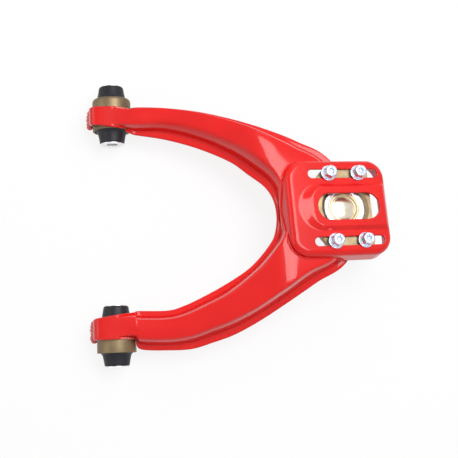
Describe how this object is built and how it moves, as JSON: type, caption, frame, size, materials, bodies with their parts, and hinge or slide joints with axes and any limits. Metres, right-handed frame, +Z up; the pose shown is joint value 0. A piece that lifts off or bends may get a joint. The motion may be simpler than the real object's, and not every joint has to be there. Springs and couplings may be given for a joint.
{
  "type": "adjustable upper control arm",
  "caption": "A-shaped pressed-steel control arm on rubber bushes, with a slotted housing over a bolted sliding carrier whose ball joint stud swings and turns.",
  "frame": {"origin": "on the common axis of the bush bores, midway between the bushes", "axes": "+X runs outwards from the bush axis to the ball joint, square to the bush axis; +Y runs along the bush axis to the front bush; +Z is up, towards the slotted face and away from the stud"},
  "size_m": [0.2758, 0.264, 0.0823],
  "materials": {
    "red_paint": "gloss enamel",
    "shell_plating": "yellow zinc plate, satin",
    "bush_rubber": "matt black with a faint sheen",
    "sleeve_steel": "machined bright steel",
    "carrier_plating": "yellow zinc plate, grainy",
    "joint_steel": "turned bright steel",
    "gold_plating": "yellow zinc plate",
    "cap_steel": "pressed bright steel",
    "bolt_zinc": "blue-white zinc plate",
    "spring_steel": "oiled spring steel",
    "seat_polymer": "natural acetal",
    "stud_steel": "ground steel",
    "boot_rubber": "satin black"
  },
  "bodies": {
    "arm": {"arm_pressing": "red_paint", "slider_housing": "red_paint", "housing_weld": "red_paint", "front_bush_weld": "red_paint", "rear_bush_weld": "red_paint", "front_bush_shell": "shell_plating", "rear_bush_shell": "shell_plating", "front_bush_rubber": "bush_rubber", "rear_bush_rubber": "bush_rubber"},
    "front_sleeve": {"front_bush_sleeve": "sleeve_steel"},
    "rear_sleeve": {"rear_bush_sleeve": "sleeve_steel"},
    "carrier": {"joint_carrier": "carrier_plating", "joint_housing": "joint_steel", "cap_ring": "gold_plating", "joint_cap": "cap_steel", "preload_spring": "spring_steel", "retaining_ring": "spring_steel", "clamp_bolts": "bolt_zinc", "bolt_washers": "bolt_zinc", "clamp_nuts": "bolt_zinc", "boot_clamp_upper": "spring_steel", "dust_boot": "boot_rubber"},
    "bearing": {"upper_race": "seat_polymer", "lower_race": "seat_polymer"},
    "boot_lip": {"boot_clamp_lower": "spring_steel"},
    "stud": {"ball_stud": "stud_steel", "castle_nut": "gold_plating", "cotter_pin": "sleeve_steel"}
  },
  "joints": [
    {"name": "front_bush_twist", "type": "hinge", "parent": "arm", "child": "front_sleeve", "pos_m": [0, 0.104, 0], "axis": [0, 1, 0], "range_deg": [-25, 25], "stiffness_Nm_per_rad": 40},
    {"name": "rear_bush_twist", "type": "hinge", "parent": "arm", "child": "rear_sleeve", "pos_m": [0, -0.104, 0], "axis": [0, 1, 0], "range_deg": [-25, 25], "stiffness_Nm_per_rad": 40},
    {"name": "camber_slide", "type": "slide", "parent": "arm", "child": "carrier", "axis": [0.9823, 0.0276, -0.1852], "range_m": [-0.015, 0.009]},
    {"name": "bearing_turn", "type": "hinge", "parent": "carrier", "child": "bearing", "pos_m": [0.20717, 0.0022, 0.02943], "axis": [0.1822, 0.0857, 0.9795], "continuous": true},
    {"name": "stud_tilt", "type": "hinge", "parent": "bearing", "child": "boot_lip", "pos_m": [0.20717, 0.0022, 0.02943], "axis": [-0.0429, 0.9959, -0.0792], "range_deg": [-25, 25], "deforming": ["dust_boot"]},
    {"name": "stud_swivel", "type": "hinge", "parent": "boot_lip", "child": "stud", "pos_m": [0.20717, 0.0022, 0.02943], "axis": [0.1822, 0.0857, 0.9795], "continuous": true}
  ]
}
